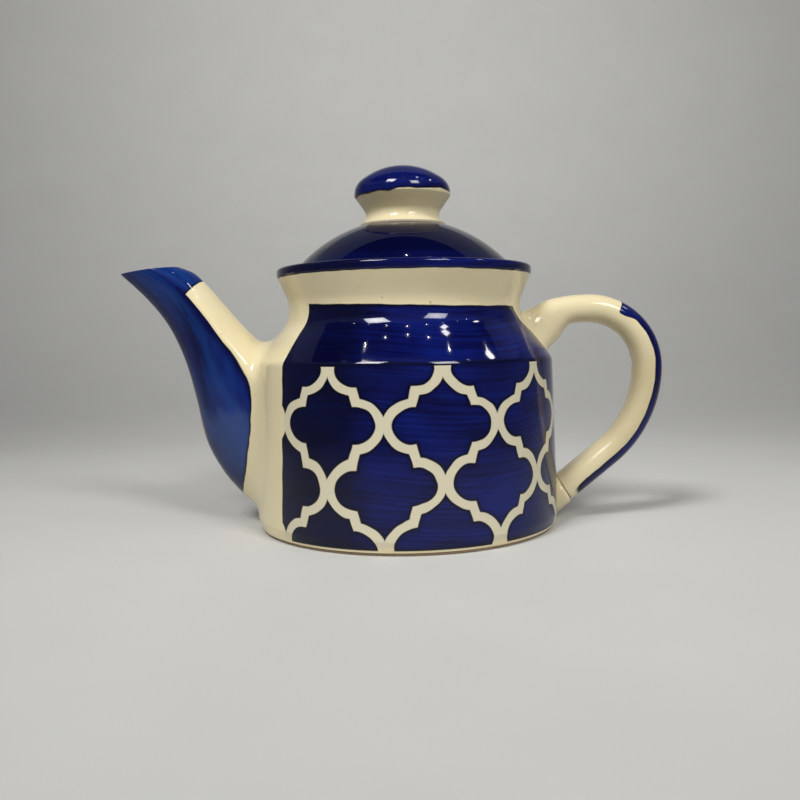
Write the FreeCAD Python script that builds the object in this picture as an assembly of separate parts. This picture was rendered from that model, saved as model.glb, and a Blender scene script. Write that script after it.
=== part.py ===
import FreeCAD, Part
import math
import os

# A glazed earthenware teapot. Sizes are in millimetres. The pot stands on the XY plane with its
# axis on Z, the spout points along -X and the handle along +X.

# Pot wall, from the foot up to the rim. Corner places are those before rounding. Each inset or flare is
# taken from the radius before it, so that the whole wall follows the base.
base_radius = 52.0
base_height = 4.5
foot_inset = 0.7
foot_height = 2.5
foot_width = 7.0
foot_edge_round = 0.8
shoulder_inset = 1.6
shoulder_height = 56.6
shoulder_round = 3.5
throat_inset = 12.2
throat_height = 72.5
throat_round = 9.5
rim_flare = 5.4
rim_height = 88.0
rim_depth = 2.6
rim_outer_round = 1.2
rim_inner_round = 1.0
wall = 4.5
inner_shoulder_round = 4.0
floor_thickness = 5.0
floor_corner_round = 7.0

# Gallery in the rim that the lid sits in, and the mouth below it
gallery_width = 4.4
gallery_depth = 4.0
mouth_wall = 3.7
mouth_round = 0.8

# Strainer: holes through the pot's wall behind the spout, one in the middle and a ring round it
strainer_hole_radius = 2.5
strainer_ring_radius = 8.0
strainer_ring_holes = 6
strainer_height = 34.0

# Clay slip that the spout and the knob are stuck on with
slip_thickness = 0.5

# Spout sections, from inside the pot's wall to the mouth. Each has a keel point and a crown point, as
# (reach out from the base radius, height), the half width at the ridge, the ridge's place between keel
# (0) and crown (1), and the fullness of the side below the ridge and of the crown above it.
spout_sections = [
    ((-12.0, 0.0), (-14.0, 58.0), 24.0, 0.50, 0.95, 0.60),
    ((0.5, 5.0), (-3.6, 62.4), 17.0, 0.50, 0.90, 0.65),
    ((6.0, 10.5), (0.0, 65.0), 14.0, 0.52, 0.80, 0.70),
    ((12.3, 18.0), (4.0, 69.0), 12.8, 0.55, 0.70, 0.75),
    ((18.0, 29.0), (7.5, 73.0), 12.0, 0.60, 0.60, 0.80),
    ((21.2, 44.0), (11.0, 77.2), 11.0, 0.65, 0.50, 0.80),
    ((24.7, 57.5), (14.3, 81.3), 10.0, 0.68, 0.45, 0.80),
    ((30.0, 69.5), (17.5, 84.9), 9.0, 0.68, 0.40, 0.80),
    ((37.2, 79.0), (20.9, 87.9), 8.2, 0.68, 0.35, 0.80),
    ((46.3, 87.8), (25.6, 89.9), 7.0, 0.68, 0.30, 0.80),
]
spout_wall = 3.0

# Handle strap. Its centre line leads off the neck, bends over and sweeps down to the base.
handle_top_height = 73.0
handle_reach = 32.0
handle_lead_radius = 58.0
handle_bend_radius = 20.5
handle_sweep_radius = 38.0
handle_sweep_angle = 51.0
handle_thickness = 9.8
handle_width = 13.0
handle_fullness = 0.85
handle_flare_reach = 6.0
handle_flare_rate = 0.11
handle_flare_limit = 9.0

# Clay pads under the two ends of the handle
pad_lip = 0.5
upper_pad_thickness = 2.6
lower_pad_top = 15.5
lower_pad_reach = 9.5

# Lid: a dome with a flat brim, and the flange under it that keeps it in the mouth
lid_clearance = 0.6
dome_radius = 49.0
dome_thickness = 4.0
brim_edge = 1.8
flange_clearance = 0.8
flange_thickness = 3.5
flange_depth = 8.0
flange_round = 1.0

# Knob. Its heights are measured up from its foot on the dome.
knob_foot_radius = 14.5
knob_waist_radius = 11.8
knob_waist_height = 2.8
knob_waist_round = 2.8
knob_cap_radius = 16.5
knob_cap_height = 9.4
knob_cap_edge = 0.8
knob_cap_edge_round = 0.6
knob_crown_height = 9.6
knob_crown_edge_round = 6.0

os.makedirs("parts", exist_ok=True)
vector = FreeCAD.Vector
origin = vector(0, 0, 0)
up = vector(0, 0, 1)


def rounded_edges(corners):
    """Straight runs through (radius, height, rounding) corners, with a tangent arc at each rounding."""
    points = [vector(radius, 0, height) for radius, height, rounding in corners]
    edges = []
    start = points[0]
    for index in range(1, len(points) - 1):
        corner = points[index]
        rounding = corners[index][2]
        if rounding == 0:
            edges.append(Part.makeLine(start, corner))
            start = corner
            continue
        back = (points[index - 1] - corner).normalize()
        onward = (points[index + 1] - corner).normalize()
        half_angle = back.getAngle(onward) / 2
        reach = rounding / math.tan(half_angle)
        inset = rounding / math.sin(half_angle) - rounding
        arc_start = corner + back * reach
        arc_middle = corner + (back + onward).normalize() * inset
        arc_end = corner + onward * reach
        edges.append(Part.makeLine(start, arc_start))
        edges.append(Part.Arc(arc_start, arc_middle, arc_end).toShape())
        start = arc_end
    edges.append(Part.makeLine(start, points[-1]))
    return edges


def offset_corners(corners, distance):
    """A chain of corners that climbs the pot, moved outwards by a distance, or inwards by a negative one."""
    runs = []
    for lower, upper in zip(corners, corners[1:]):
        runs.append(vector(upper[0] - lower[0], 0, upper[1] - lower[1]).normalize())
    moved = []
    for index, (radius, height, rounding) in enumerate(corners):
        below = runs[max(index - 1, 0)]
        above = runs[min(index, len(runs) - 1)]
        share = distance / (1 + below.dot(above))
        turns_in = below.x * above.z - below.z * above.x > 0
        if rounding:
            rounding += distance if turns_in else -distance
        moved.append((radius + share * (below.z + above.z), height - share * (below.x + above.x), rounding))
    return moved


def turned(edges):
    """A solid turned about the pot's axis from a closed chain of edges in the XZ plane."""
    return Part.Face(Part.Wire(edges)).revolve(origin, up, 360)


def turned_block(corners):
    """A block turned about the pot's axis from a chain of corners, filled in as far as the axis."""
    bottom = corners[0][1]
    top = corners[-1][1]
    return turned(rounded_edges([(0, top, 0), (0, bottom, 0)] + corners + [(0, top, 0)]))


def quarter(start, corner, end, fullness):
    """A quarter of an oval, from start to end round a corner point. A fullness of 0.7 makes it an ellipse."""
    curve = Part.BSplineCurve()
    curve.buildFromPolesMultsKnots([start, corner, end], [3, 3], [0, 1], False, 2, [1, fullness, 1])
    return curve.toShape()


def oval(low, high, widest_place, half_width, low_fullness, high_fullness):
    """A closed oval wire between two points on y = 0, widest at a place between low (0) and high (1)."""
    widest = low + (high - low) * widest_place
    edges = []
    for side in (vector(0, half_width, 0), vector(0, -half_width, 0)):
        half = [
            quarter(low, low + side, widest + side, low_fullness),
            quarter(widest + side, high + side, high, high_fullness),
        ]
        edges += half if side.y > 0 else half[::-1]
    return Part.Wire(edges)


# Outside of the pot, run on below the table. What is stuck to the pot is cut by this block or by one
# offset from it.
foot_radius = base_radius - foot_inset
shoulder_radius = base_radius - shoulder_inset
throat_radius = shoulder_radius - throat_inset
rim_radius = throat_radius + rim_flare
rim_underside = rim_height - rim_depth
outside_corners = [
    (foot_radius, -base_height, 0),
    (foot_radius, 0, 0),
    (base_radius, base_height, 0),
    (shoulder_radius, shoulder_height, shoulder_round),
    (throat_radius, throat_height, throat_round),
    (rim_radius, rim_underside, 0),
]
pot_outside = turned_block(outside_corners)
slip_outside = turned_block(offset_corners(outside_corners, slip_thickness))
upper_pad_outside = turned_block(offset_corners(outside_corners, upper_pad_thickness))

# Foot ring: the unglazed ring that the pot stands on, flush with the wall above it
foot_top_radius = foot_radius + (base_radius - foot_radius) * foot_height / base_height
foot_ring = turned(rounded_edges([
    (foot_top_radius, foot_height, 0),
    (foot_radius - foot_width, foot_height, 0),
    (foot_radius - foot_width, 0, foot_edge_round),
    (foot_radius, 0, foot_edge_round),
    (foot_top_radius, foot_height, 0),
]))

# Pot body: floor, wall, shoulder, neck and rim, with the gallery cut into the rim
floor_height = foot_height + floor_thickness
ledge_height = rim_height - gallery_depth
gallery_radius = rim_radius - gallery_width
mouth_radius = throat_radius - mouth_wall
inner_shoulder_radius, inner_shoulder_height, _ = offset_corners(outside_corners, -wall)[3]
shoulder_slope = (throat_height - shoulder_height) / (shoulder_radius - throat_radius)
mouth_bottom = inner_shoulder_height + shoulder_slope * (inner_shoulder_radius - mouth_radius)
pot_body = turned(rounded_edges([
    (0, floor_height, 0),
    (0, foot_height, 0),
    (foot_top_radius, foot_height, 0),
    (base_radius, base_height, 0),
    (shoulder_radius, shoulder_height, shoulder_round),
    (throat_radius, throat_height, throat_round),
    (rim_radius, rim_underside, 0),
    (rim_radius, rim_height, rim_outer_round),
    (gallery_radius, rim_height, rim_inner_round),
    (gallery_radius, ledge_height, 0),
    (mouth_radius, ledge_height, mouth_round),
    (mouth_radius, mouth_bottom, throat_round),
    (inner_shoulder_radius, inner_shoulder_height, inner_shoulder_round),
    (base_radius - wall, floor_height, floor_corner_round),
    (0, floor_height, 0),
]))
strainer_places = [(0, 0)]
for hole in range(strainer_ring_holes):
    angle = 2 * math.pi * hole / strainer_ring_holes
    strainer_places.append((strainer_ring_radius * math.cos(angle), strainer_ring_radius * math.sin(angle)))
for across, rise in strainer_places:
    hole_start = vector(-base_radius - wall, across, strainer_height + rise)
    hole_cutter = Part.makeCylinder(strainer_hole_radius, 3 * wall, hole_start, vector(1, 0, 0))
    pot_body = pot_body.cut(hole_cutter)


# Spout: a hollow horn with a flared root, a rounded keel below, a ridge along each side and a flat
# pointed mouth on top
def spout_horn(inset, overrun):
    """The spout's horn as a solid, drawn in by an inset and run on past the mouth."""
    wires = []
    for keel_place, crown_place, half_width, ridge_place, side_fullness, crown_fullness in spout_sections:
        keel = vector(-base_radius - keel_place[0], 0, keel_place[1])
        crown = vector(-base_radius - crown_place[0], 0, crown_place[1])
        rise = (crown - keel).normalize()
        low = keel + rise * inset
        high = crown - rise * inset
        wires.append(oval(low, high, ridge_place, half_width - inset, side_fullness, crown_fullness))
    if overrun:
        mouth_normal = vector(rise.z, 0, -rise.x)
        beyond = wires[-1].copy()
        beyond.translate(mouth_normal * -overrun)
        wires.append(beyond)
    return Part.makeLoft(wires, True, False)


spout_tube = spout_horn(0, 0).cut(spout_horn(spout_wall, spout_wall))
spout = spout_tube.cut(slip_outside)
spout_slip = spout_tube.common(slip_outside).cut(pot_outside)

# Handle: a strap of rounded section, flared at its upper end
bend_x = base_radius + handle_reach - handle_bend_radius
bend_height = handle_top_height - handle_bend_radius
sweep_x = base_radius + handle_reach - handle_sweep_radius
sweep_angle = math.radians(handle_sweep_angle)
lead_height = handle_top_height - handle_lead_radius
lead_angle = math.asin((bend_x - throat_radius) / handle_lead_radius)
lead_steps = 8
bend_steps = 5
sweep_steps = 4
straight_steps = 3
handle_stations = []
for step in range(lead_steps):
    angle = lead_angle * (1 - step / lead_steps)
    normal = vector(-math.sin(angle), 0, math.cos(angle))
    handle_stations.append((vector(bend_x, 0, lead_height) + normal * handle_lead_radius, normal))
for step in range(bend_steps):
    angle = math.pi / 2 * step / bend_steps
    normal = vector(math.sin(angle), 0, math.cos(angle))
    handle_stations.append((vector(bend_x, 0, bend_height) + normal * handle_bend_radius, normal))
for step in range(sweep_steps + 1):
    angle = sweep_angle * step / sweep_steps
    normal = vector(math.cos(angle), 0, -math.sin(angle))
    handle_stations.append((vector(sweep_x, 0, bend_height) + normal * handle_sweep_radius, normal))
sweep_end = handle_stations[-1][0]
straight_run = vector(-math.sin(sweep_angle), 0, -math.cos(sweep_angle))
straight_length = (sweep_end.x - base_radius + 2 * wall) / math.sin(sweep_angle)
for step in range(1, straight_steps + 1):
    handle_stations.append((sweep_end + straight_run * (straight_length * step / straight_steps), normal))


def handle_strap(grow):
    """The handle's strap as a solid that runs into the pot at both ends, grown by a margin."""
    wires = []
    for centre, normal in handle_stations:
        outer = handle_thickness / 2 + grow
        inner = outer
        half_width = handle_width / 2 + grow
        into_flare = base_radius + handle_flare_reach - centre.x
        if into_flare > 0 and centre.z > bend_height:
            inner += min(handle_flare_limit, handle_flare_rate * into_flare ** 2)
        low = centre - normal * inner
        high = centre + normal * outer
        wires.append(oval(low, high, inner / (inner + outer), half_width, handle_fullness, handle_fullness))
    return Part.makeLoft(wires, True, False)


upper_half = Part.makeCylinder(2 * base_radius, rim_height, vector(0, 0, bend_height))
upper_seat = upper_pad_outside.common(upper_half)
lower_seat = Part.makeCone(base_radius + lower_pad_reach, base_radius, lower_pad_top)
handle = handle_strap(0).cut(upper_seat).cut(lower_seat).cut(pot_outside)
handle_upper_pad = handle_strap(pad_lip).common(upper_seat).cut(pot_outside)
handle_lower_pad = handle_strap(pad_lip).common(lower_seat).cut(pot_outside)

# Lid dome, with its flat brim on the gallery's ledge
lid_radius = gallery_radius - lid_clearance
flange_outer_radius = mouth_radius - flange_clearance
flange_inner_radius = flange_outer_radius - flange_thickness
brim_top = ledge_height + brim_edge
dome_centre = brim_top - math.sqrt(dome_radius ** 2 - lid_radius ** 2)


def dome_point(ball_radius, radius):
    """The point at a radius from the axis on a ball round the dome's centre."""
    return vector(radius, 0, dome_centre + math.sqrt(ball_radius ** 2 - radius ** 2))


def dome_arc(ball_radius, radius):
    """The arc over a ball round the dome's centre, from the axis out to a radius."""
    top, middle, end = [dome_point(ball_radius, radius * share) for share in (0, 0.5, 1)]
    return Part.Arc(top, middle, end).toShape()


inner_ball = dome_radius - dome_thickness
lid_dome = turned([
    dome_arc(dome_radius, lid_radius),
    Part.makeLine(dome_point(dome_radius, lid_radius), vector(lid_radius, 0, ledge_height)),
    Part.makeLine(vector(lid_radius, 0, ledge_height), vector(flange_inner_radius, 0, ledge_height)),
    Part.makeLine(vector(flange_inner_radius, 0, ledge_height), dome_point(inner_ball, flange_inner_radius)),
    dome_arc(inner_ball, flange_inner_radius),
    Part.makeLine(dome_point(inner_ball, 0), dome_point(dome_radius, 0)),
])

# Lid flange, under the brim
flange_bottom = ledge_height - flange_depth
lid_flange = turned(rounded_edges([
    (flange_outer_radius, ledge_height, 0),
    (flange_inner_radius, ledge_height, 0),
    (flange_inner_radius, flange_bottom, flange_round),
    (flange_outer_radius, flange_bottom, flange_round),
    (flange_outer_radius, ledge_height, 0),
]))

# Knob, stuck on top of the dome with slip
slip_ball = dome_radius + slip_thickness
knob_foot = dome_point(slip_ball, knob_foot_radius)
knob_slip = turned([
    dome_arc(slip_ball, knob_foot_radius),
    Part.makeLine(knob_foot, dome_point(dome_radius, knob_foot_radius)),
    dome_arc(dome_radius, knob_foot_radius),
    Part.makeLine(dome_point(dome_radius, 0), dome_point(slip_ball, 0)),
])
knob_cap_start = knob_foot.z + knob_cap_height
knob_crown_start = knob_cap_start + knob_cap_edge
knob_top = vector(0, 0, knob_crown_start + knob_crown_height)
edge_centre = vector(knob_cap_radius - knob_crown_edge_round, 0, knob_crown_start)
edge_square = edge_centre.x ** 2 + knob_crown_height ** 2 - knob_crown_edge_round ** 2
crown_radius = edge_square / (2 * (knob_crown_height - knob_crown_edge_round))
crown_centre = knob_top - up * crown_radius
crown_tilt = (edge_centre - crown_centre).normalize()
crown_joint = edge_centre + crown_tilt * knob_crown_edge_round
edge_middle = edge_centre + (crown_tilt + vector(1, 0, 0)).normalize() * knob_crown_edge_round
crown_middle = crown_centre + (crown_tilt + up).normalize() * crown_radius
knob_edge = vector(knob_cap_radius, 0, knob_crown_start)
knob_crown = [
    Part.Arc(knob_edge, edge_middle, crown_joint).toShape(),
    Part.Arc(crown_joint, crown_middle, knob_top).toShape(),
]
knob_flank = rounded_edges([
    (knob_foot_radius, knob_foot.z, 0),
    (knob_waist_radius, knob_foot.z + knob_waist_height, knob_waist_round),
    (knob_cap_radius, knob_cap_start, knob_cap_edge_round),
    (knob_cap_radius, knob_crown_start, 0),
])
knob_axis = Part.makeLine(knob_top, dome_point(slip_ball, 0))
lid_knob = turned([dome_arc(slip_ball, knob_foot_radius)] + knob_flank + knob_crown + [knob_axis])

pieces = {
    "pot_body": pot_body,
    "foot_ring": foot_ring,
    "spout": spout,
    "spout_slip": spout_slip,
    "handle": handle,
    "handle_upper_pad": handle_upper_pad,
    "handle_lower_pad": handle_lower_pad,
    "lid_dome": lid_dome,
    "lid_flange": lid_flange,
    "knob_slip": knob_slip,
    "lid_knob": lid_knob,
}
for name, piece in pieces.items():
    piece.exportStep(f"parts/{name}.step")
    print(name, len(piece.Solids), "solid", piece.isValid(), round(piece.Volume), "mm3")
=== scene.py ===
import math

import bmesh
import bpy
from mathutils import Matrix, Vector


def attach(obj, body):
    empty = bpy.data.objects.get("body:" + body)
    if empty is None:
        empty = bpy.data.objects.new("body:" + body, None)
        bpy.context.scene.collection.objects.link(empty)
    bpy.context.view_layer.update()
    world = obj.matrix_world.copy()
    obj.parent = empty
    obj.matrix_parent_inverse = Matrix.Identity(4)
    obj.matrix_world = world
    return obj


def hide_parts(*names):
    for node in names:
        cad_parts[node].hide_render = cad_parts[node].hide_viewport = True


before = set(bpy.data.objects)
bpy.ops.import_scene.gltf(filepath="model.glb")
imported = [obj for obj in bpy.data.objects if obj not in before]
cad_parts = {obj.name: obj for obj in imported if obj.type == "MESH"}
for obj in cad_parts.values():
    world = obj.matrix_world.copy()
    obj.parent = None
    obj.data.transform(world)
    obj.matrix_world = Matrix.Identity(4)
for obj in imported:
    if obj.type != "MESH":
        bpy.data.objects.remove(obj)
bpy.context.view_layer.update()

# Foot ring: the narrow ring that the pot stands on, turned in one with the pot from pale earthenware.
# Its underside is wiped clean for the kiln shelf, and the wall's glaze runs down over its outer side.
mm = 0.001
turning_steps = 144


class Link:
    """A number on its way through a shader. Arithmetic on it adds Math nodes."""

    def __init__(self, finish, socket):
        self.finish = finish
        self.socket = socket

    def math(self, operation, *others):
        inputs = dict(enumerate((self,) + others))
        return self.finish.node("Math", {"operation": operation}, inputs)

    def __add__(self, other):
        return self.math("ADD", other)

    def __radd__(self, other):
        return self.math("ADD", other)

    def __sub__(self, other):
        return self.math("SUBTRACT", other)

    def __rsub__(self, other):
        return self.finish.node("Math", {"operation": "SUBTRACT"}, {0: other, 1: self})

    def __mul__(self, other):
        return self.math("MULTIPLY", other)

    def __rmul__(self, other):
        return self.math("MULTIPLY", other)

    def __truediv__(self, other):
        return self.math("DIVIDE", other)

    def __abs__(self):
        return self.math("ABSOLUTE")

    def at_least(self, other):
        return self.math("MAXIMUM", other)

    def at_most(self, other):
        return self.math("MINIMUM", other)

    def ramp(self, low, high):
        """0 below low and 1 above high, with a soft change between them."""
        settings = {"interpolation_type": "SMOOTHSTEP"}
        return self.finish.node("MapRange", settings, {0: self, 1: low, 2: high})


class Finish:
    """A material in the making."""

    def __init__(self, name):
        self.material = bpy.data.materials.new(name)
        self.material.use_nodes = True
        self.tree = self.material.node_tree
        self.shader = self.tree.nodes["Principled BSDF"]
        place = self.node("TexCoord", {}, {}, "Object")
        self.x, self.y, self.z = [self.node("SeparateXYZ", {}, {0: place}, axis) / mm for axis in "XYZ"]
        self.place = self.vector(self.x, self.y, self.z)

    def node(self, kind, settings, inputs, output=0):
        """Any shader node: its settings are set first, then its sockets get their values or links."""
        made = self.tree.nodes.new("ShaderNode" + kind)
        for setting, value in settings.items():
            setattr(made, setting, value)
        for socket, value in inputs.items():
            if isinstance(value, Link):
                self.tree.links.new(value.socket, made.inputs[socket])
            else:
                made.inputs[socket].default_value = value
        return Link(self, made.outputs[output])

    def vector(self, x, y, z):
        return self.node("CombineXYZ", {}, {0: x, 1: y, 2: z})

    def attribute(self, name):
        return self.node("Attribute", {"attribute_name": name}, {}, "Fac")

    def noise(self, place, scale, detail=2.0):
        return self.node("TexNoise", {}, {"Vector": place, "Scale": scale, "Detail": detail})

    def mix(self, share, first, second):
        """The first colour where share is 0 and the second where it is 1."""
        first, second = [c if isinstance(c, Link) else (*c, 1) for c in (first, second)]
        return self.node("Mix", {"data_type": "RGBA"}, {0: share, 6: first, 7: second}, 2)

    def close(self, colour, roughness, height):
        """Sends the colour, the roughness and a height in millimetres to the shader."""
        bump = self.node("Bump", {}, {"Strength": 1.0, "Distance": mm, "Height": height})
        for socket, value in (("Base Color", colour), ("Roughness", roughness), ("Normal", bump)):
            self.tree.links.new(value.socket, self.shader.inputs[socket])
        return self.material


def outline(corners, closed=False, spacing=4.0):
    """A line through (radius, height, rounding) corners in millimetres, rounded and cut into short runs."""
    shape = bmesh.new()
    places = [Vector((radius, 0, height)) * mm for radius, height, rounding in corners]
    points = [shape.verts.new(place) for place in places]
    for start, end in zip(points, points[1:] + points[:1] if closed else points[1:]):
        shape.edges.new((start, end))
    for index, (radius, height, rounding) in enumerate(corners):
        if rounding:
            back = places[index - 1] - places[index]
            onward = places[(index + 1) % len(places)] - places[index]
            reach = rounding * mm / math.tan(back.angle(onward) / 2)
            bmesh.ops.bevel(
                shape, geom=[points[index]], offset=reach, offset_type="OFFSET",
                affect="VERTICES", segments=6, profile=0.5, material=-1,
            )
    for edge in shape.edges[:]:
        cuts = int(edge.calc_length() / (spacing * mm))
        if cuts:
            bmesh.ops.subdivide_edges(shape, edges=[edge], cuts=cuts)
    return shape


def turn(shape):
    """Spins an outline round the pot's axis and closes its seam and poles."""
    geometry = shape.verts[:] + shape.edges[:]
    bmesh.ops.spin(
        shape, geom=geometry, cent=(0, 0, 0), axis=(0, 0, 1), angle=2 * math.pi,
        steps=turning_steps, use_merge=True,
    )
    bmesh.ops.remove_doubles(shape, verts=shape.verts, dist=0.001 * mm)
    bmesh.ops.recalc_face_normals(shape, faces=shape.faces)
    return shape


def piece(name, shape, material, slot, body, *nodes):
    """Makes a finished shape an object that rides on a body and stands for CAD nodes."""
    mesh = bpy.data.meshes.new(name)
    shape.to_mesh(mesh)
    shape.free()
    mesh.shade_smooth()
    mesh.set_sharp_from_angle(angle=math.radians(50))
    mesh.materials.append(material)
    made = bpy.data.objects.new(name, mesh)
    bpy.context.scene.collection.objects.link(made)
    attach(made, body)
    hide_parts(*nodes)
    return made


def bare_clay():
    """Fired earthenware without glaze: pale brown, gritty, with a darker stain at the glaze line."""
    finish = Finish("bare clay")
    grit = finish.noise(finish.place, 1.6, 4)
    stain = finish.z.ramp(0.2, glaze_line)
    dark_clay = (0.22, 0.14, 0.08)
    pale_clay = (0.42, 0.31, 0.20)
    stained_clay = (0.16, 0.10, 0.06)
    clay = finish.mix(grit, dark_clay, pale_clay)
    clay = finish.mix(stain * 0.6, clay, stained_clay)
    return finish.close(clay, 0.62 + 0.2 * grit, grit * 0.15)


base_radius = 52.0
base_height = 4.5
foot_radius = 51.3
foot_height = 2.5
foot_width = 7.0
foot_round = 0.8
glaze_line = 1.0
glaze_thickness = 0.4
bare_radius = foot_radius - glaze_thickness
foot = turn(outline([
    (bare_radius, foot_height, 0),
    (foot_radius - foot_width, foot_height, 0),
    (foot_radius - foot_width, 0, foot_round),
    (bare_radius, 0, foot_round),
], closed=True))
piece("foot", foot, bare_clay(), "bare_clay", "pot", "foot_ring")

# Pot: floor, wall, shoulder, neck and rim, turned or cast in one from earthenware and dipped in ivory
# glaze. A trellis is left bare between cells of brushed cobalt, and a strainer is pierced behind the spout.
shoulder_radius = 50.4
shoulder_height = 56.6
throat_radius = 38.2
throat_height = 72.5
throat_round = 9.5
rim_radius = 43.6
rim_height = 88.0
rim_depth = 2.6
gallery_radius = 39.2
ledge_height = 84.0
mouth_radius = 34.5
mouth_bottom = 66.2
inner_shoulder_radius = 45.8
inner_shoulder_height = 54.7
floor_radius = 47.5
floor_height = 7.5
strainer_height = 34.0
strainer_ring_radius = 8.0
strainer_ring_holes = 6
strainer_hole_radius = 2.5
strainer_depth = 14.0
shoulder_swell_out = 0.3
shoulder_swell_up = 0.23
shoulder_swell_round = 60.0
shoulder_middle = (
    shoulder_radius / 2 + throat_radius / 2 + shoulder_swell_out,
    shoulder_height / 2 + throat_height / 2 + shoulder_swell_up,
    shoulder_swell_round,
)
wall_outline = [
    (bare_radius, foot_height, 0),
    (bare_radius, glaze_line, 0),
    (foot_radius, glaze_line, 0.2),
    (base_radius, base_height, 0.6),
    (shoulder_radius, shoulder_height, 3.5),
    shoulder_middle,
    (throat_radius, throat_height, throat_round),
    (rim_radius, rim_height - rim_depth, 0.5),
    (rim_radius, rim_height, 1.2),
]
inside_outline = [
    (gallery_radius, rim_height, 1.0),
    (gallery_radius, ledge_height, 0.4),
    (mouth_radius, ledge_height, 0.8),
    (mouth_radius, mouth_bottom, throat_round),
    (inner_shoulder_radius, inner_shoulder_height, 4.0),
    (floor_radius, floor_height, 7.0),
    (0, floor_height, 0),
]
pot = turn(outline([(0, foot_height, 0)] + wall_outline + inside_outline))


def ivory_glaze(finish):
    """Warm ivory glaze over pale clay: a slow drift of tone and a few iron specks."""
    drift = finish.noise(finish.place, 0.035, 3)
    speck = finish.noise(finish.place, 0.55, 1).ramp(0.76, 0.80)
    thin_ivory = (0.75, 0.67, 0.45)
    darker_ivory = (0.67, 0.57, 0.34)
    iron = (0.30, 0.22, 0.12)
    return finish.mix(speck * 0.5, finish.mix(drift, thin_ivory, darker_ivory), iron)


def cobalt_glaze(finish, along, across):
    """Cobalt laid on with a wide brush: streaks along the stroke, thinner where the brush ran dry."""
    bristles = finish.noise(finish.vector(along * 0.022, across * 1.1, 0.0), 1.0, 1)
    hairs = finish.noise(finish.vector(along * 0.03, across * 3.2, 5.0), 1.0, 0)
    loads = finish.noise(finish.vector(along * 0.045, across * 0.09, 7.0), 1.0, 2)
    thin = (bristles * 0.5 + hairs * 0.2 + loads * 0.65 - 0.45).ramp(0.0, 0.5)
    full_cobalt = (0.002, 0.0022, 0.032)
    thin_cobalt = (0.004, 0.010, 0.120)
    return finish.mix(thin, full_cobalt, thin_cobalt)


def painted(finish, cobalt, ivory, inside, pooling=1.6):
    """Cobalt where the distance inside its edge is above 0, pooled to near black along that edge."""
    pooled_cobalt = (0.0012, 0.0014, 0.009)
    pooled = 1 - inside.ramp(0.1, pooling)
    cobalt = finish.mix(pooled * 0.92, cobalt, pooled_cobalt)
    return finish.mix(inside.ramp(-0.18, 0.18), ivory, cobalt)


def glazed(finish, colour, inside):
    """Closes a glazed finish: a hard gloss, the faint waves of fired glaze, and paint that stands proud."""
    waves = finish.noise(finish.place, 0.07, 1)
    finish.shader.inputs["Specular IOR Level"].default_value = 0.28
    roughness = 0.03 + 0.05 * finish.noise(finish.place, 0.3, 3)
    return finish.close(colour, roughness, waves * 0.02 + inside.ramp(-0.3, 0.3) * 0.02)


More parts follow.
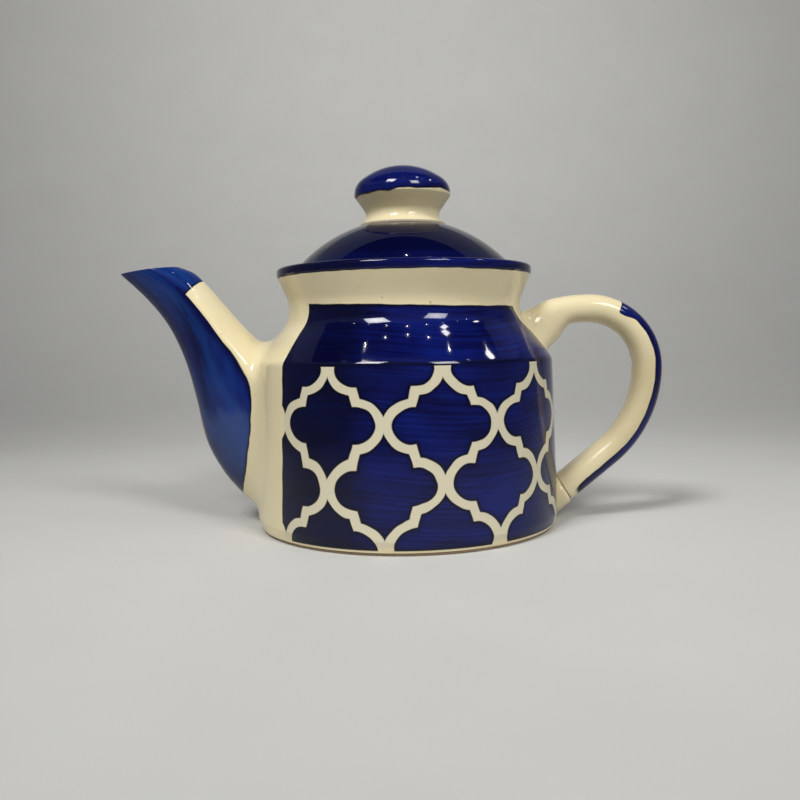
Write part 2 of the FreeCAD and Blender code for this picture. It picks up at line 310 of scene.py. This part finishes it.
def pot_glaze():
    """Ivory glaze with the cobalt trellis on the wall, a cobalt shoulder band and a cobalt rim."""
    finish = Finish("pot glaze")
    across_half = 17.8
    up_half = 17.05
    bow = 7.4
    bow_height = 6.75
    pointed = 1.9
    line_half = 1.43
    columns = 9
    column_turn = math.radians(12.5)
    row_height = 38.8
    row_stretch = 1.01
    row_unevenness = 0.033
    hand_drift = 1.3
    sag_depth = 2.2
    trellis_top = 56.0
    panel_bottom = 1.7
    band_top = 73.8
    band_lift = 1.6
    band_lift_fade = 1.33
    rim_band_low = 84.7
    rim_band_overlap = 0.8
    spout_side = math.radians(40.5)
    wall_skin_radius = 49.0
    shoulder_slope = 0.77
    handle_gap_low = 57.0
    handle_gap_least = 0.12
    handle_gap_growth = 0.022
    heavy_shaded_cobalt = (0.0015, 0.0016, 0.012)
    edge_cobalt = (0.0015, 0.0018, 0.014)
    line_ivory = (0.53, 0.51, 0.41)
    wobble = finish.noise(finish.place, 0.12, 1) - 0.5
    ripple = finish.noise(finish.vector(finish.z, finish.x, finish.y), 0.15, 1) - 0.5
    turn_front = finish.x.math("ARCTAN2", finish.y * -1)
    turn_spout = abs(finish.y).math("ARCTAN2", finish.x * -1)
    wall_arc = columns * across_half / math.pi
    arc = turn_front * wall_arc + wobble * hand_drift
    height = finish.z + ripple * hand_drift
    fold_x = (arc - column_turn * wall_arc).math("PINGPONG", across_half)
    sag = turn_front.ramp(math.radians(12), math.radians(-15)) * turn_front.ramp(-2.2, -1.7) * sag_depth
    climb = height - row_height + sag * (1 - height.ramp(18.0, 36.0))
    fold_z = (climb * row_stretch + abs(climb) * row_unevenness).math("PINGPONG", up_half)

    def from_middle(x, z, power):
        """The distance from the middle of a rounded diamond, which is a circle for a power of 2."""
        return (abs(x).math("POWER", power) + abs(z).math("POWER", power)).math("POWER", 1 / power)

    jog_left = 0.47 * across_half
    jog_right = 0.53 * across_half
    squash = bow / bow_height
    upper_bow = bow - from_middle((fold_x - jog_left).at_most(0.0), (fold_z - up_half) * squash, pointed)
    lower_bow = from_middle((fold_x - jog_right).at_least(0.0), fold_z * squash, pointed) - bow
    jog = Vector((jog_right - jog_left, 2 * bow_height - up_half)).normalized()
    jog_side = (fold_z - bow_height) * jog.x - (fold_x - jog_right) * jog.y
    from_line = abs(upper_bow.at_least(jog_side.at_most(lower_bow)))
    cells = (from_line - line_half - wobble * 0.25).at_least((finish.z - trellis_top) * 2)

    handle_gap = (finish.z - handle_gap_low).at_least(0.0) * handle_gap_growth + handle_gap_least
    beside_handle = ((math.pi - turn_spout) - handle_gap) * 44
    beside_handle = beside_handle.at_least((handle_gap_low + 1 - finish.z) * 3)
    band_rise = ((turn_spout - spout_side) * -band_lift_fade + band_lift).at_least(0)
    below_band = band_rise + band_top - finish.z - ripple * 0.5
    panel = ((turn_spout - spout_side) * 50 + wobble * 1.0).at_most(below_band)
    radius = from_middle(finish.x, finish.y, 2)
    outer_side = radius - wall_skin_radius + (finish.z - shoulder_height).at_least(0.0) * shoulder_slope
    panel = panel.at_most(beside_handle).at_most(finish.z - panel_bottom).at_most(outer_side * 5)
    rim_band = (finish.z + ripple * 0.6 - rim_band_low) * 3
    inner_rim = radius - gallery_radius + rim_band_overlap
    inside = panel.at_most(cells).at_least(rim_band.at_most(inner_rim))
    cobalt = cobalt_glaze(finish, arc, finish.z + (arc * 0.07).math("SINE") * 1.5)
    # Darker cobalt across the pot's left front: partly heavier paint, partly painted shade where the glaze
    # mirrors the dark surroundings.
    heavy_paint_and_shade = turn_front.ramp(-0.09, -0.42) * turn_front.ramp(-1.6, -1.2)
    cobalt = finish.mix(heavy_paint_and_shade * 0.8, cobalt, heavy_shaded_cobalt)
    edge_line = 1 - abs(finish.z - shoulder_height).ramp(0.1, 1.0)
    cobalt = finish.mix(edge_line * 0.8, cobalt, edge_cobalt)
    lines = panel.ramp(0.0, 2.0) * 0.6
    ivory = finish.mix(lines, ivory_glaze(finish), line_ivory)
    return glazed(finish, painted(finish, cobalt, ivory, inside), inside)


body = piece("pot", pot, pot_glaze(), "pot_glaze", "pot", "pot_body")
strainer = bmesh.new()
strainer_places = [(0, 0)]
for hole in range(strainer_ring_holes):
    angle = 2 * math.pi * hole / strainer_ring_holes
    strainer_places.append((strainer_ring_radius * math.cos(angle), strainer_ring_radius * math.sin(angle)))
for across, rise in strainer_places:
    place = Vector((1 - base_radius, across, strainer_height + rise)) * mm
    lying = Matrix.Translation(place) @ Matrix.Rotation(math.pi / 2, 4, "Y")
    bmesh.ops.create_cone(
        strainer, cap_ends=True, segments=24, radius1=strainer_hole_radius * mm,
        radius2=strainer_hole_radius * mm, depth=strainer_depth * mm, matrix=lying,
    )
strainer_mesh = bpy.data.meshes.new("strainer")
strainer.to_mesh(strainer_mesh)
strainer.free()
piercer = bpy.data.objects.new("strainer", strainer_mesh)
bpy.context.scene.collection.objects.link(piercer)
piercing = body.modifiers.new("strainer", "BOOLEAN")
piercing.object = piercer
piercing.solver = "EXACT"
bpy.context.view_layer.objects.active = body
bpy.ops.object.modifier_apply(modifier=piercing.name)
bpy.data.objects.remove(piercer)

# Spout: cast hollow in the same clay, with a flared root that is luted to the wall with slip and smoothed
# over. The brush ran along its sides and keel in a lighter cobalt, and its deck stays ivory.
# Each section: the keel's reach and height, the crown's reach and height, half the width, where along the
# height it is widest, and how full it is below and above that.
spout_sections = [
    (6.0, 10.5, 0.0, 65.0, 14.0, 0.78, 0.80, 0.50),
    (12.3, 18.0, 4.0, 69.0, 12.8, 0.82, 0.65, 0.44),
    (18.0, 29.0, 7.5, 73.0, 12.0, 0.81, 0.52, 0.40),
    (21.2, 44.0, 11.0, 77.2, 11.0, 0.78, 0.45, 0.40),
    (24.7, 57.5, 14.3, 81.3, 10.0, 0.73, 0.41, 0.40),
    (30.0, 69.5, 17.5, 84.9, 9.0, 0.68, 0.38, 0.44),
    (37.2, 79.0, 20.9, 87.9, 8.2, 0.62, 0.35, 0.55),
    (46.3, 87.8, 25.6, 89.9, 7.0, 0.56, 0.30, 0.70),
]
spout_wall = 3.0
spout_root_low = 3.2
spout_root_high = 69.0
spout_root_turn = math.radians(39)
spout_root_widest = 0.60
spout_root = (math.pi, -spout_root_turn, spout_root_low, spout_root_high, spout_root_widest)
root_tangent = 0.85
root_fullness_low = 1.3
root_fullness_high = 1.1
flare_leave = 0.42
flare_arrive = 0.38
spout_inlet = 0.5
spout_end = len(spout_sections) - 1
root_share = 0.22
skin_share = 0.62
lip_share = 0.66
bore_share = 0.92


def smooth_between(rows, place):
    """The row of numbers at a place along rows, on a smooth curve through all of them."""
    index = min(int(place), len(rows) - 2)
    t = place - index
    picked = [rows[min(max(index + step, 0), len(rows) - 1)] for step in (-1, 0, 1, 2)]
    blended = []
    for a, b, c, d in zip(*picked):
        bend = 2 * a - 5 * b + 4 * c - d + t * (3 * (b - c) + d - a)
        blended.append(b + 0.5 * t * (c - a + t * bend))
    return blended


def quarter(start, corner, end, fullness, share):
    """A point on a quarter of an oval from start to end round a corner."""
    first, middle, last = (1 - share) ** 2, 2 * fullness * share * (1 - share), share ** 2
    return (start * first + corner * middle + end * last) / (first + middle + last)


def oval(low, high, widest_place, half_width, low_fullness, high_fullness, around):
    """A point on a closed oval: around is 0 at low, 1 at high and on to 2 back at low."""
    side = Vector((0, half_width if around <= 1 else -half_width, 0))
    rise = around if around <= 1 else 2 - around
    widest = low.lerp(high, widest_place) + side
    if rise < 0.5:
        return quarter(low, low + side, widest, low_fullness, 2 * rise)
    return quarter(widest, high + side, high, high_fullness, 2 * rise - 1)


def spout_point(place, around, inset):
    """A point on the spout's skin at a place along its sections, drawn in by an inset."""
    row = smooth_between(spout_sections, place)
    keel_reach, keel_height, crown_reach, crown_height, half_width, widest, low_full, high_full = row
    keel = Vector((-base_radius - keel_reach, 0, keel_height))
    crown = Vector((-base_radius - crown_reach, 0, crown_height))
    rise = (crown - keel).normalized() * inset
    return oval(keel + rise, crown - rise, widest, half_width - inset, low_full, high_full, around)


def wall_radius(height):
    """The pot's outer radius at a height on the wall or the shoulder."""
    if height < shoulder_height:
        climb = (height - base_height) / (shoulder_height - base_height)
        return base_radius + (shoulder_radius - base_radius) * climb
    climb = (height - shoulder_height) / (throat_height - shoulder_height)
    return shoulder_radius + (throat_radius - shoulder_radius) * climb


def root_point(middle, half_turn, low, high, widest_place, around, scale):
    """A point on a rounded outline on the pot's wall, where something is luted on."""
    low, high = Vector((0, 0, low)), Vector((0, 0, high))
    widest = low.lerp(high, widest_place)
    edge = oval(low, high, widest_place, half_turn, root_fullness_low, root_fullness_high, around)
    place = widest.lerp(edge, scale)
    turned = middle + place.y
    radius = wall_radius(place.z)
    return Vector((radius * math.cos(turned), radius * math.sin(turned), place.z))


def flare(start, onward, end, spread, share):
    """A point on the smooth curve that leaves start along onward and runs out at end along spread."""
    length = (end - start).length
    leave = start + onward.normalized() * length * flare_leave
    arrive = end - spread.normalized() * length * flare_arrive
    a, b, c, d = (1 - share) ** 3, 3 * share * (1 - share) ** 2, 3 * share ** 2 * (1 - share), share ** 3
    return start * a + leave * b + arrive * c + end * d


def tube(along_steps, around_steps, point):
    """A grid bent into a tube by point(along, around), with both kept on it as attributes."""
    shape = bmesh.new()
    bmesh.ops.create_grid(shape, x_segments=along_steps, y_segments=around_steps, size=1)
    along_layer = shape.verts.layers.float.new("along")
    rise_layer = shape.verts.layers.float.new("rise")
    for vert in shape.verts:
        along = (vert.co.x + 1) / 2
        around = vert.co.y + 1
        vert[along_layer] = along
        vert[rise_layer] = min(around, 2 - around)
        vert.co = point(along, around) * mm
    bmesh.ops.remove_doubles(shape, verts=shape.verts, dist=0.01 * mm)
    return shape


def spout_skin(along, around):
    """The spout from its root on the wall, out over its skin, round its lip and back down its bore."""
    if along < root_share:
        start = spout_point(0, around, 0)
        onward = start - spout_point(0.3, around, 0)
        end = root_point(*spout_root, around, 1)
        near = root_point(*spout_root, around, root_tangent)
        return flare(start, onward, end, end - near, 1 - along / root_share)
    if along < skin_share:
        return spout_point(spout_end * (along - root_share) / (skin_share - root_share), around, 0)
    if along < lip_share:
        half_turn = math.pi * (along - skin_share) / (lip_share - skin_share)
        return spout_point(spout_end, around, spout_wall * (1 - math.cos(half_turn)) / 2)
    if along < bore_share:
        return spout_point(spout_end * (bore_share - along) / (bore_share - lip_share), around, spout_wall)
    inlet = root_point(*spout_root, around, spout_inlet)
    return spout_point(0, around, spout_wall).lerp(inlet, (along - bore_share) / (1 - bore_share))


spout = tube(110, 64, spout_skin)
bmesh.ops.bridge_loops(spout, edges=[edge for edge in spout.edges if edge.is_boundary])
bmesh.ops.recalc_face_normals(spout, faces=spout.faces)


def spout_glaze():
    """Ivory glaze with cobalt brushed along the sides and keel, and a cobalt collar round the mouth."""
    finish = Finish("spout glaze")
    along = finish.attribute("along")
    rise = finish.attribute("rise")
    panel_edge_x = -51.4
    panel_bend_height = 48.0
    panel_bend = 0.0045
    collar_section = 5.0
    streak_cobalt = (0.010, 0.048, 0.22)
    sheen_grey_cobalt = (0.040, 0.072, 0.19)
    shaded_keel_cobalt = (0.003, 0.004, 0.035)
    wobble = finish.noise(finish.place, 0.2, 1) - 0.5
    low = (panel_bend_height - finish.z).at_least(0.0)
    beyond_root = panel_edge_x - low * low * panel_bend - finish.x + wobble * 1.2
    below_ridge = (0.5 - rise) * 40 + wobble * 0.5
    side = beyond_root.math("SMOOTH_MIN", below_ridge, 3.0)
    collar_start = root_share + (skin_share - root_share) * collar_section / spout_end
    collar = (along - collar_start) * 120 + wobble * 1.0
    inside = side.at_least(collar)
    cobalt = cobalt_glaze(finish, along * 140, rise * 40)
    sheen = finish.noise(finish.vector(along * 6, rise * 7, 3.0), 1.0, 2).ramp(0.35, 0.7)
    cobalt = finish.mix(sheen * 0.6, cobalt, streak_cobalt)
    # Painted reflection: a lighter, greyer haze on the cobalt low on the panel, from about 15 to 40 mm up,
    # where the glaze mirrors the floor.
    low_painted_sheen = (finish.z + wobble * 8).ramp(43, 36) * finish.z.ramp(12, 22)
    cobalt = finish.mix(low_painted_sheen * 0.55, cobalt, sheen_grey_cobalt)
    # Darker cobalt along the keel: partly heavier brushing, partly painted shade where the underside turns
    # away from the light.
    keel = 1 - rise.ramp(0.05, 0.24)
    cobalt = finish.mix(keel * 0.75, cobalt, shaded_keel_cobalt)
    return glazed(finish, painted(finish, cobalt, ivory_glaze(finish), inside, 1.3), inside)


piece("spout_shell", spout, spout_glaze(), "spout_glaze", "pot", "spout", "spout_slip")

# Handle: a strap of rounded clay, bent over while soft and luted on at the shoulder and at the base. It is
# dipped in ivory glaze, and one pull of a cobalt brush runs down its back.
handle_top_height = 73.0
handle_reach = 32.0
handle_lead_radius = 58.0
handle_bend_radius = 20.5
handle_sweep_radius = 38.0
handle_sweep_turn = math.radians(51)
handle_half_thickness = 4.9
handle_half_width = 6.5
handle_fullness = 0.85
handle_flare_start = 58.0
handle_flare_rate = 0.11
handle_flare_limit = 9.0
lower_pad_top = 15.5
lower_pad_reach = 9.5
handle_root_low = 57.5
handle_root_high = 74.0
handle_root_turn = math.radians(17)
bend_x = base_radius + handle_reach - handle_bend_radius
bend_height = handle_top_height - handle_bend_radius
sweep_x = base_radius + handle_reach - handle_sweep_radius
lead_start_x = 52.5
lead_turn = math.asin((bend_x - lead_start_x) / handle_lead_radius)
lead_length = handle_lead_radius * lead_turn
bend_length = handle_bend_radius * math.pi / 2
sweep_length = handle_sweep_radius * handle_sweep_turn
straight_length = 33.0
handle_length = lead_length + bend_length + sweep_length + straight_length


def handle_centre(distance):
    """The strap's centre and its outward direction at a distance along it from the shoulder."""
    if distance < lead_length:
        angle = lead_turn * (1 - distance / lead_length)
        outward = Vector((-math.sin(angle), 0, math.cos(angle)))
        middle = Vector((bend_x, 0, handle_top_height - handle_lead_radius))
        return middle + outward * handle_lead_radius, outward
    distance -= lead_length
    if distance < bend_length:
        angle = distance / handle_bend_radius
        outward = Vector((math.sin(angle), 0, math.cos(angle)))
        return Vector((bend_x, 0, bend_height)) + outward * handle_bend_radius, outward
    distance -= bend_length
    angle = min(distance / handle_sweep_radius, handle_sweep_turn)
    outward = Vector((math.cos(angle), 0, -math.sin(angle)))
    centre = Vector((sweep_x, 0, bend_height)) + outward * handle_sweep_radius
    onward = Vector((-math.sin(angle), 0, -math.cos(angle)))
    return centre + onward * max(distance - sweep_length, 0), outward


def strap_point(distance, around, grow):
    """A point on the strap's skin, grown by a margin."""
    centre, outward = handle_centre(distance)
    outer = handle_half_thickness + grow
    inner = outer
    into_flare = handle_flare_start - centre.x
    if into_flare > 0 and centre.z > bend_height:
        inner += min(handle_flare_limit, handle_flare_rate * into_flare ** 2)
    low = centre - outward * inner
    high = centre + outward * outer
    width = handle_half_width + grow
    return oval(low, high, inner / (inner + outer), width, handle_fullness, handle_fullness, around)


def seat_distance(around, grow, shortfall):
    """How far along the strap its skin meets the lower pad's sloping seat."""
    near, far = handle_length - straight_length, handle_length
    for halving in range(24):
        middle = (near + far) / 2
        point = strap_point(middle, around, grow)
        seat_radius = base_radius + lower_pad_reach * (1 - point.z / lower_pad_top)
        if math.hypot(point.x, point.y) - shortfall > seat_radius:
            near = middle
        else:
            far = middle
    return near


handle_root_share = 0.14
handle_root_tangent = 0.8
handle_end_share = 0.985
handle_end_round = 0.8
seat_gap = 0.15


def handle_skin(along, around):
    """The strap from its root on the shoulder, over the bend and down to its seat on the lower pad."""
    if along < handle_root_share:
        start = strap_point(0, around, 0)
        onward = start - strap_point(1, around, 0)
        root = (0, handle_root_turn, handle_root_low, handle_root_high, 0.5, around)
        end = root_point(*root, 1)
        near = root_point(*root, handle_root_tangent)
        return flare(start, onward, end, end - near, 1 - along / handle_root_share)
    end = seat_distance(around, 0, seat_gap)
    share = min((along - handle_root_share) / (handle_end_share - handle_root_share), 1)
    over = max(along - handle_end_share, 0) / (1 - handle_end_share)
    return strap_point(end * share, around, -handle_end_round * over ** 2)


handle = tube(150, 48, handle_skin)
bmesh.ops.holes_fill(handle, edges=handle.edges, sides=0)
bmesh.ops.recalc_face_normals(handle, faces=handle.faces)


def handle_glaze():
    """Ivory glaze with a cobalt stripe down the strap's back, from a broad dab to a thin tail."""
    finish = Finish("handle glaze")
    along = finish.attribute("along")
    rise = finish.attribute("rise")
    stripe_start = 0.318
    stripe_end = 0.96
    stripe_edge = 0.597
    stripe_widening = 0.022
    dab_width = 0.075
    darker_ivory = (0.36, 0.28, 0.15)
    wobble = finish.noise(finish.place, 0.16, 2) - 0.5
    dab = 1 - along.ramp(0.335, 0.375)
    edge = stripe_edge - along.ramp(0.42, 0.56) * stripe_widening - dab * dab_width
    inside = (rise - edge) * 22 + wobble * 1.2
    for end in ((along - stripe_start) * 150, (stripe_end - along) * 22):
        inside = inside.math("SMOOTH_MIN", end, 2.5)
    cobalt = cobalt_glaze(finish, along * 120, rise * 25)
    # Painted shade: the ivory turns brown along the middle of the strap, under the bend and down its outer
    # side.
    painted_shade = along.ramp(0.36, 0.56) * along.ramp(0.92, 0.74)
    ivory = finish.mix(painted_shade * 0.45, ivory_glaze(finish), darker_ivory)
    return glazed(finish, painted(finish, cobalt, ivory, inside, 0.8), inside)


piece("handle_strap", handle, handle_glaze(), "handle_glaze", "pot", "handle", "handle_upper_pad")

# Lower pad: the wedge of clay that was pressed under the handle's lower end. It wasn't smoothed over, so
# the joint with the strap still shows as a fine crack under the glaze.
pad_length = 11.0
pad_lip = 0.5
pad_lip_drop = 1.0
pad_lip_share = 0.15
pad_clearance = 0.4


def lower_pad_skin(along, around):
    """The pad from the strap's seat to just inside the pot's wall."""
    start = seat_distance(around, 0, 0)
    lip = pad_lip - pad_lip_drop * max(1 - along / pad_lip_share, 0) ** 2
    return strap_point(start + pad_length * along, around, lip)


lower_pad = tube(20, 48, lower_pad_skin)
bmesh.ops.holes_fill(lower_pad, edges=lower_pad.edges, sides=0)
bmesh.ops.bisect_plane(
    lower_pad, geom=lower_pad.verts[:] + lower_pad.edges[:] + lower_pad.faces[:],
    plane_co=(0, 0, pad_clearance * mm), plane_no=(0, 0, -1), clear_outer=True,
)
bmesh.ops.holes_fill(lower_pad, edges=lower_pad.edges, sides=0)
bmesh.ops.recalc_face_normals(lower_pad, faces=lower_pad.faces)


def pad_glaze():
    """Plain ivory glaze."""
    finish = Finish("pad glaze")
    return glazed(finish, ivory_glaze(finish), finish.z)


piece("lower_pad", lower_pad, pad_glaze(), "handle_glaze", "pot", "handle_lower_pad")

# Lid: a thrown dome whose flat brim sits on the ledge inside the pot's rim. It is brushed all over with
# cobalt and glazed.
lid_radius = 38.6
dome_radius = 49.0
dome_thickness = 4.0
brim_edge = 1.8
brim_side = 1.4
brim_round = 0.3
flange_outer_radius = 33.7
flange_inner_radius = 30.2
flange_depth = 8.0
dome_centre = ledge_height + brim_edge - math.sqrt(dome_radius ** 2 - lid_radius ** 2)


def dome_arc(ball_radius, start_radius, end_radius, steps):
    """Points (radius, height, rounding) along an arc over the dome, from one radius to another."""
    start, end = [math.asin(radius / ball_radius) for radius in (start_radius, end_radius)]
    points = []
    for step in range(steps + 1):
        angle = start + (end - start) * step / steps
        points.append((ball_radius * math.sin(angle), dome_centre + ball_radius * math.cos(angle), 0))
    return points


inner_ball = dome_radius - dome_thickness
dome = turn(outline(
    dome_arc(dome_radius, 0, lid_radius - brim_round, 20)
    + [(lid_radius, ledge_height + brim_side, 0), (lid_radius, ledge_height, brim_round)]
    + [(flange_inner_radius, ledge_height, 0)]
    + dome_arc(inner_ball, flange_inner_radius, 0, 16)
))


def lid_glaze():
    """Deep cobalt all over the dome, brushed round it, with the ivory showing at its edge."""
    finish = Finish("lid glaze")
    turned = finish.x.math("ARCTAN2", finish.y * -1)
    radius = (finish.x * finish.x + finish.y * finish.y).math("SQRT")
    inside = (lid_radius + 0.4 - radius).at_most(finish.z - ledge_height - 0.6)
    cobalt = cobalt_glaze(finish, turned * 30, radius)
    deep_cobalt = (0.0010, 0.0013, 0.015)
    deep = radius.ramp(lid_radius - 2.5, lid_radius - 6.0) * 0.3 + 0.6
    cobalt = finish.mix(deep, cobalt, deep_cobalt)
    return glazed(finish, painted(finish, cobalt, ivory_glaze(finish), inside, 0.7), inside)


piece("lid", dome, lid_glaze(), "lid_glaze", "lid", "lid_dome")

# Lid flange: the ring under the brim that keeps the lid in the mouth when the pot is tipped. It is plain
# ivory glaze, worn thin along its lower edge.
flange = turn(outline([
    (flange_outer_radius, ledge_height, 0),
    (flange_inner_radius, ledge_height, 0),
    (flange_inner_radius, ledge_height - flange_depth, 1.0),
    (flange_outer_radius, ledge_height - flange_depth, 1.0),
], closed=True))


def flange_glaze():
    """Ivory glaze, rubbed through to the clay along the lower edge."""
    finish = Finish("flange glaze")
    flange_bottom = ledge_height - flange_depth
    rubbed_clay = (0.50, 0.38, 0.25)
    above_edge = finish.z + 2 * finish.noise(finish.place, 0.3, 3)
    worn = 1 - above_edge.ramp(flange_bottom + 0.6, flange_bottom + 2.2)
    colour = finish.mix(worn * 0.7, ivory_glaze(finish), rubbed_clay)
    return glazed(finish, colour, finish.z)


piece("lid_flange_ring", flange, flange_glaze(), "flange_glaze", "lid", "lid_flange")

# Knob: a waisted button, thrown solid and stuck on top of the dome with slip. Its stem is ivory, and its
# cap was dabbed with cobalt by hand.
slip_thickness = 0.5
knob_foot_radius = 14.5
knob_waist_radius = 11.8
knob_waist_height = 2.8
knob_cap_radius = 16.5
knob_cap_height = 9.4
knob_cap_edge = 0.8
knob_crown_height = 9.6
slip_ball = dome_radius + slip_thickness
knob_foot_height = dome_centre + math.sqrt(slip_ball ** 2 - knob_foot_radius ** 2)
knob_cap_start = knob_foot_height + knob_cap_height
knob_crown_start = knob_cap_start + knob_cap_edge
knob_top = knob_crown_start + knob_crown_height
crown_edge_round = 6.0
edge_centre = knob_cap_radius - crown_edge_round
crown_radius = (edge_centre ** 2 + knob_crown_height ** 2 - crown_edge_round ** 2) / (
    2 * (knob_crown_height - crown_edge_round))
crown_centre = knob_top - crown_radius
crown_turn = math.atan2(edge_centre, knob_crown_start - crown_centre)
crown = []
for step in range(11):
    angle = crown_turn * step / 10
    crown.append((crown_radius * math.sin(angle), crown_centre + crown_radius * math.cos(angle), 0))
for step in range(1, 9):
    angle = crown_turn + (math.pi / 2 - crown_turn) * step / 8
    crown.append((
        edge_centre + crown_edge_round * math.sin(angle),
        knob_crown_start + crown_edge_round * math.cos(angle),
        0,
    ))
knob = turn(outline(
    crown
    + [(knob_cap_radius, knob_cap_start, 0.6)]
    + [(knob_waist_radius, knob_foot_height + knob_waist_height, 2.8)]
    + [(knob_foot_radius, knob_foot_height, 0)]
    + dome_arc(slip_ball, knob_foot_radius, 0, 8)
))


def knob_glaze():
    """Ivory stem and a cobalt cap whose edge dips to one side."""
    finish = Finish("knob glaze")
    cap_line = 112.5
    cap_tilt = 0.05
    wobble = finish.noise(finish.place, 0.16, 1) - 0.5
    inside = finish.z - cap_line - finish.x * cap_tilt + wobble * 1.6
    turned = finish.x.math("ARCTAN2", finish.y * -1)
    cobalt = cobalt_glaze(finish, turned * 15, finish.z)
    return glazed(finish, painted(finish, cobalt, ivory_glaze(finish), inside, 1.0), inside)


piece("knob", knob, knob_glaze(), "knob_glaze", "lid", "lid_knob")

# Slip: the thin layer of clay slip that the knob was stuck on with. It is fired hard and lies hidden
# between the knob and the dome, so its own solid is kept and only gets a finish.


def fired_slip():
    """Fired slip: dull, pale and slightly grainy."""
    finish = Finish("fired slip")
    grain = finish.noise(finish.place, 1.2, 3)
    dark_slip = (0.50, 0.40, 0.28)
    pale_slip = (0.66, 0.56, 0.42)
    slip = finish.mix(grain, dark_slip, pale_slip)
    return finish.close(slip, 0.7 + 0.1 * grain, grain * 0.08)


knob_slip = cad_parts["knob_slip"].data
knob_slip.materials.clear()
knob_slip.materials.append(fired_slip())

# Studio: a round sweep of pale paper that is floor and backdrop in one, softboxes and small lamps that
# leave points of light on the glaze, a light for the backdrop, and a canopy of dark cloth overhead that
# the lid mirrors.
sweep_radius = 1300
sweep_round = 800
sweep_height = 900
canopy_height = 1350
canopy_half_depth = 600
canopy_stretch = 2.4
dark_paper = (0.535, 0.53, 0.505)
pale_paper = (0.575, 0.57, 0.545)
dark_cloth = (0.008, 0.008, 0.010)
pale_cloth = (0.014, 0.014, 0.017)
sweep = turn(outline([
    (0, 0, 0),
    (sweep_radius, 0, sweep_round),
    (sweep_radius, sweep_height, 0),
], spacing=200))
paper = Finish("paper")
fibre = paper.noise(paper.place, 0.02, 3)
paper_colour = paper.mix(fibre, dark_paper, pale_paper)
paper_finish = paper.close(paper_colour, 0.6 + 0.1 * fibre, fibre * 0.01)
canopy = turn(outline([(0, canopy_height, 0), (canopy_half_depth, canopy_height, 0)], spacing=200))
bmesh.ops.scale(canopy, vec=(canopy_stretch, 1.0, 1.0), verts=canopy.verts)
cloth = Finish("dark cloth")
weave = cloth.noise(cloth.place, 0.5, 2)
cloth_colour = cloth.mix(weave, dark_cloth, pale_cloth)
cloth_finish = cloth.close(cloth_colour, 0.85 + 0.1 * weave, weave * 0.01)
for name, shape, finish in (("sweep", sweep, paper_finish), ("canopy", canopy, cloth_finish)):
    mesh = bpy.data.meshes.new(name)
    shape.to_mesh(mesh)
    shape.free()
    mesh.shade_smooth()
    mesh.materials.append(finish)
    set_piece = bpy.data.objects.new(name, mesh)
    bpy.context.scene.collection.objects.link(set_piece)


def lamp(name, place, aim, size, power, spread):
    """A soft square light that faces a point and spreads over an angle in degrees."""
    light = bpy.data.lights.new(name, "AREA")
    light.size = size
    light.energy = power
    light.spread = math.radians(spread)
    made = bpy.data.objects.new(name, light)
    made.location = place
    made.rotation_euler = (aim - place).to_track_quat("-Z", "Y").to_euler()
    bpy.context.scene.collection.objects.link(made)


pot_middle = Vector((0, 0, 0.06))
backdrop_middle = Vector((0.0, 1.3, 0.5))
wide = 180
narrow = 45
lamp("left softbox", Vector((-0.42, -0.62, 1.0)), pot_middle, 0.35, 0.78, narrow)
lamp("right softbox", Vector((0.5, -0.75, 0.8)), pot_middle, 0.35, 0.5, narrow)
lamp("side light", Vector((0.8, 0.0, 0.9)), pot_middle, 0.08, 0.6, wide)
lamp("ridge light", Vector((0.38, -0.16, 0.98)), pot_middle, 0.06, 0.35, wide)
lamp("backdrop light", Vector((0.0, 0.55, 0.8)), backdrop_middle, 0.5, 4.2, wide)
for lamp_x in (-0.95, -0.68, -0.42, -0.2, 0.03, 0.24, 0.46, 0.72, 0.98):
    lamp(f"front lamp {lamp_x}", Vector((lamp_x, -0.30, 1.05)), pot_middle, 0.006, 0.08, wide)
for lamp_x in (-0.28, 0.03, 0.26):
    lamp(f"top lamp {lamp_x}", Vector((lamp_x, 0.0, 1.1)), pot_middle, 0.008, 0.08, wide)

world = bpy.data.worlds.new("studio")
world.use_nodes = True
background = world.node_tree.nodes["Background"]
background.inputs["Color"].default_value = (0.9, 0.93, 1.0, 1)
background.inputs["Strength"].default_value = 0.2
bpy.context.scene.world = world
bpy.context.scene.view_settings.view_transform = "Standard"

# Camera: held just above the shoulder's lower edge, in front of the pot, looking along +Y and a little
# down. It is turned and rolled by about a degree, as a camera held by hand is.
camera_distance = 0.2964
camera_height = 0.0652
camera_down = math.radians(4.41)
camera_turn = math.radians(-0.41)
camera_roll = math.radians(1.07)
focal_pixels = 849
image_pixels = 800
forward = Vector((
    math.sin(camera_turn) * math.cos(camera_down),
    math.cos(camera_turn) * math.cos(camera_down),
    -math.sin(camera_down),
))
level = Vector((math.cos(camera_turn), -math.sin(camera_turn), 0))
upright = level.cross(forward)
right = level * math.cos(camera_roll) - upright * math.sin(camera_roll)
above = level * math.sin(camera_roll) + upright * math.cos(camera_roll)
camera_data = bpy.data.cameras.new("camera")
camera_data.sensor_width = 36
camera_data.lens = camera_data.sensor_width * focal_pixels / image_pixels
camera_data.clip_start = 0.01
camera = bpy.data.objects.new("camera", camera_data)
camera.matrix_world = Matrix((right, above, -forward)).transposed().to_4x4()
camera.location = (0, -camera_distance, camera_height)
bpy.context.scene.collection.objects.link(camera)
bpy.context.scene.camera = camera
